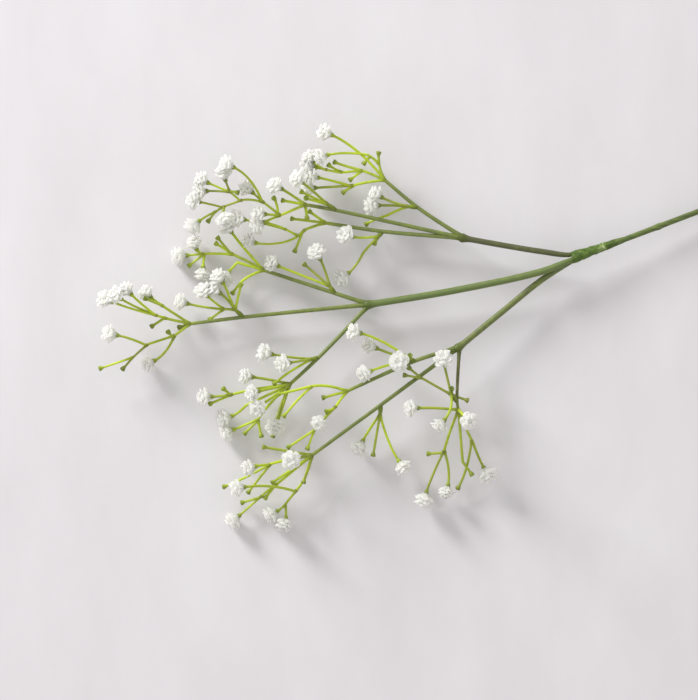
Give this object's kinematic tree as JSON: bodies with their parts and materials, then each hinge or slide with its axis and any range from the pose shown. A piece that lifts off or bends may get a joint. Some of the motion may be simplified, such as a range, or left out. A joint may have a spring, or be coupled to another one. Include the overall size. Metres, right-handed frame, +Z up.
{
  "type": "artificial gypsophila stem",
  "caption": "Artificial gypsophila (baby's breath) stem lying flat: a plastic-coated main stem, moulded forked branches bound to it with tape, and small white ruffled florets on cups.",
  "frame": {"origin": "on the surface the stem lies on, under the middle of its bounding box", "axes": "+X along the stem, from the florets towards the cut end; +Z up, away from the surface; +Y towards the side on which the cut end lies"},
  "size_m": [0.4528, 0.206, 0.0447],
  "materials": {
    "stem": "olive green coating, semi-matt",
    "tape": "green waxed crepe florist's tape, matt",
    "branch": "moulded soft plastic, yellow-green with olive shading, satin",
    "floret": "thin white moulded plastic, matt"
  },
  "bodies": {
    "root": {"main_stem": "stem", "tape_binding": "tape", "branch_upper": "branch", "branch_middle": "branch", "branch_lower": "branch", "floret_01": "floret", "floret_02": "floret", "floret_03": "floret", "floret_04": "floret", "floret_05": "floret", "floret_06": "floret", "floret_07": "floret", "floret_08": "floret", "floret_09": "floret", "floret_10": "floret", "floret_11": "floret", "floret_12": "floret", "floret_13": "floret", "floret_14": "floret", "floret_15": "floret", "floret_16": "floret", "floret_17": "floret", "floret_18": "floret", "floret_19": "floret", "floret_20": "floret", "floret_21": "floret", "floret_22": "floret", "floret_23": "floret", "floret_24": "floret", "floret_25": "floret", "floret_26": "floret", "floret_27": "floret", "floret_28": "floret", "floret_29": "floret", "floret_30": "floret", "floret_31": "floret", "floret_32": "floret", "floret_33": "floret", "floret_34": "floret", "floret_35": "floret", "floret_36": "floret", "floret_37": "floret", "floret_38": "floret", "floret_39": "floret", "floret_40": "floret", "floret_41": "floret", "floret_42": "floret", "floret_43": "floret", "floret_44": "floret", "floret_45": "floret", "floret_46": "floret", "floret_47": "floret", "floret_48": "floret", "floret_49": "floret", "floret_50": "floret", "floret_51": "floret", "floret_52": "floret", "floret_53": "floret"}
  },
  "joints": []
}
